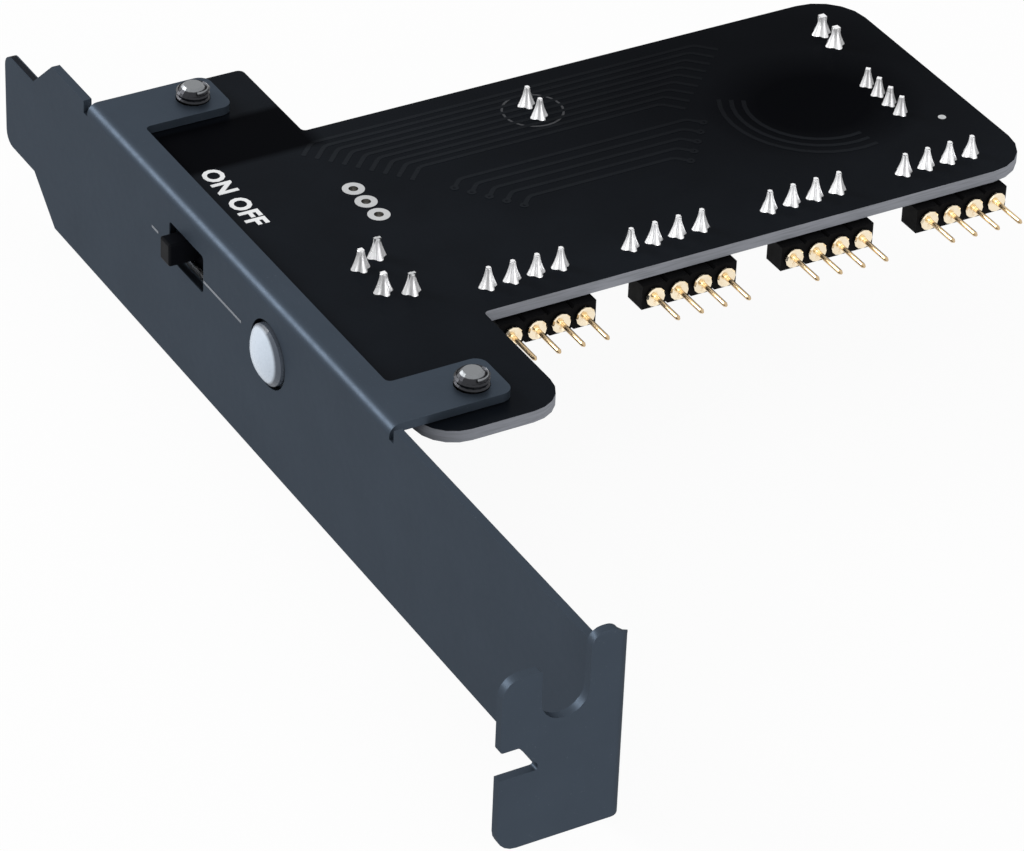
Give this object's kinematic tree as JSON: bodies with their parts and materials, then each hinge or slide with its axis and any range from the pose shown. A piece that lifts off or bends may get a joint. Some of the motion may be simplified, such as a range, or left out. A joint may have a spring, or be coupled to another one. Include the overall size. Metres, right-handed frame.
{
  "type": "rgb led strip adapter",
  "caption": "Slot bracket with a screwed-on control board: push button and slide switch in its face, pin headers for light strips along one edge, power inlet underneath.",
  "frame": {"origin": "middle of the screw tab's seating face, below the screw slot", "axes": "+Y along the bracket from the screw tab to the tongue, square to the tab's seating face; +X inwards, from the plate's outer face to the board's far end; +Z across the plate, from its lower edge to the edge with the ears"},
  "size_m": [0.0889, 0.1201, 0.0232],
  "materials": {
    "bracket_paint": "satin blue-black paint on folded steel sheet",
    "board_black": "black solder mask on glass-fibre board",
    "black_plastic": "moulded black plastic",
    "gold_plate": "gold plating on turned brass",
    "plated_steel": "nickel-plated steel",
    "tinned_lead": "tinned metal",
    "pale_plastic": "pale grey moulded plastic",
    "capacitor_sleeve": "dark shrink sleeve on an aluminium can",
    "rubber_seal": "rubber end seal",
    "resistor_ceramic": "coated ceramic"
  },
  "bodies": {
    "adapter": {"bracket": "bracket_paint", "board": "board_black", "screw_near": "plated_steel", "screw_far": "plated_steel", "push_switch_housing": "black_plastic", "push_switch_frame": "plated_steel", "push_terminal_near": "tinned_lead", "push_terminal_far": "tinned_lead", "snap_dome": "plated_steel", "slide_switch_shell": "plated_steel", "slide_switch_base": "black_plastic", "slide_terminal_1": "tinned_lead", "slide_terminal_2": "tinned_lead", "slide_terminal_3": "tinned_lead", "capacitor_can": "capacitor_sleeve", "capacitor_seal": "rubber_seal", "capacitor_lead_near": "tinned_lead", "capacitor_lead_far": "tinned_lead", "inlet_housing": "pale_plastic", "inlet_pin_near": "tinned_lead", "inlet_pin_far": "tinned_lead", "controller_chip": "black_plastic", "driver_1": "black_plastic", "driver_2": "black_plastic", "driver_3": "black_plastic", "regulator": "black_plastic", "resistor_1": "resistor_ceramic", "resistor_2": "resistor_ceramic", "resistor_3": "resistor_ceramic", "header_1_housing": "black_plastic", "header_2_housing": "black_plastic", "header_3_housing": "black_plastic", "header_4_housing": "black_plastic", "header_1_pin_1": "gold_plate", "header_1_pin_2": "gold_plate", "header_1_pin_3": "gold_plate", "header_1_pin_4": "gold_plate", "header_2_pin_1": "gold_plate", "header_2_pin_2": "gold_plate", "header_2_pin_3": "gold_plate", "header_2_pin_4": "gold_plate", "header_3_pin_1": "gold_plate", "header_3_pin_2": "gold_plate", "header_3_pin_3": "gold_plate", "header_3_pin_4": "gold_plate", "header_4_pin_1": "gold_plate", "header_4_pin_2": "gold_plate", "header_4_pin_3": "gold_plate", "header_4_pin_4": "gold_plate"},
    "button": {"button_cap": "pale_plastic", "button_plunger": "black_plastic"},
    "switch_lever": {"slide_lever": "black_plastic", "slide_contact": "plated_steel"}
  },
  "joints": [
    {"name": "button_press", "type": "slide", "parent": "adapter", "child": "button", "axis": [1, 0, 0], "range_m": [0, 0.00025], "stiffness_N_per_m": 6400},
    {"name": "power_switch", "type": "slide", "parent": "adapter", "child": "switch_lever", "axis": [0, -1, 0], "range_m": [0, 0.0035]}
  ]
}
